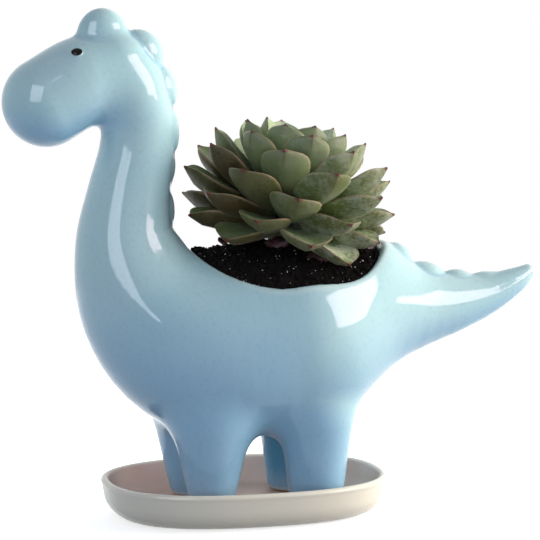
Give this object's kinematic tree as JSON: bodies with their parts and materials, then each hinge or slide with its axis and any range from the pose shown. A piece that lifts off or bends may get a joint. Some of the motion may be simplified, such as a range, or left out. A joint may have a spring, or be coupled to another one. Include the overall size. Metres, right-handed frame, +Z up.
{
  "type": "planter",
  "caption": "Glazed ceramic planter shaped as a long-necked dinosaur on an oval saucer, with a soil-filled bowl in its back that holds a rosette succulent; pot and plant lift off.",
  "frame": {"origin": "middle of the saucer's flat underside, on the surface that the planter stands on", "axes": "+Z up, the head looks along -X and the tail points along +X, +Y is the left side of the animal"},
  "size_m": [0.1986, 0.0773, 0.1841],
  "materials": {
    "blue_glaze": "gloss",
    "black_glaze": "gloss",
    "cream_glaze": "gloss",
    "screen_plastic": "matte",
    "potting_soil": "matte",
    "plant_stem": "matte",
    "plant_leaf": "satin"
  },
  "bodies": {
    "saucer": {"saucer": "cream_glaze"},
    "pot": {"planter_body": "blue_glaze", "eye_left": "black_glaze", "eye_right": "black_glaze", "drain_screen": "screen_plastic"},
    "plant": {"soil": "potting_soil", "stem": "plant_stem", "leaf_01": "plant_leaf", "leaf_02": "plant_leaf", "leaf_03": "plant_leaf", "leaf_04": "plant_leaf", "leaf_05": "plant_leaf", "leaf_06": "plant_leaf", "leaf_07": "plant_leaf", "leaf_08": "plant_leaf", "leaf_09": "plant_leaf", "leaf_10": "plant_leaf", "leaf_11": "plant_leaf", "leaf_12": "plant_leaf", "leaf_13": "plant_leaf", "leaf_14": "plant_leaf", "leaf_15": "plant_leaf", "leaf_16": "plant_leaf", "leaf_17": "plant_leaf", "leaf_18": "plant_leaf", "leaf_19": "plant_leaf", "leaf_20": "plant_leaf", "leaf_21": "plant_leaf", "leaf_22": "plant_leaf", "leaf_23": "plant_leaf", "leaf_24": "plant_leaf", "leaf_25": "plant_leaf", "leaf_26": "plant_leaf", "leaf_27": "plant_leaf", "leaf_28": "plant_leaf", "leaf_29": "plant_leaf", "leaf_30": "plant_leaf", "leaf_31": "plant_leaf", "leaf_32": "plant_leaf", "leaf_33": "plant_leaf", "leaf_34": "plant_leaf", "leaf_35": "plant_leaf", "leaf_36": "plant_leaf", "leaf_37": "plant_leaf", "leaf_38": "plant_leaf", "leaf_39": "plant_leaf", "leaf_40": "plant_leaf", "leaf_41": "plant_leaf", "leaf_42": "plant_leaf", "leaf_43": "plant_leaf", "leaf_44": "plant_leaf", "leaf_45": "plant_leaf", "leaf_46": "plant_leaf", "leaf_47": "plant_leaf", "leaf_48": "plant_leaf"}
  },
  "joints": [
    {"name": "pot_lift", "type": "slide", "parent": "saucer", "child": "pot", "axis": [0, 0, 1], "range_m": [0, 0.12]},
    {"name": "plant_lift", "type": "slide", "parent": "pot", "child": "plant", "axis": [0, 0, 1], "range_m": [0, 0.075]}
  ]
}
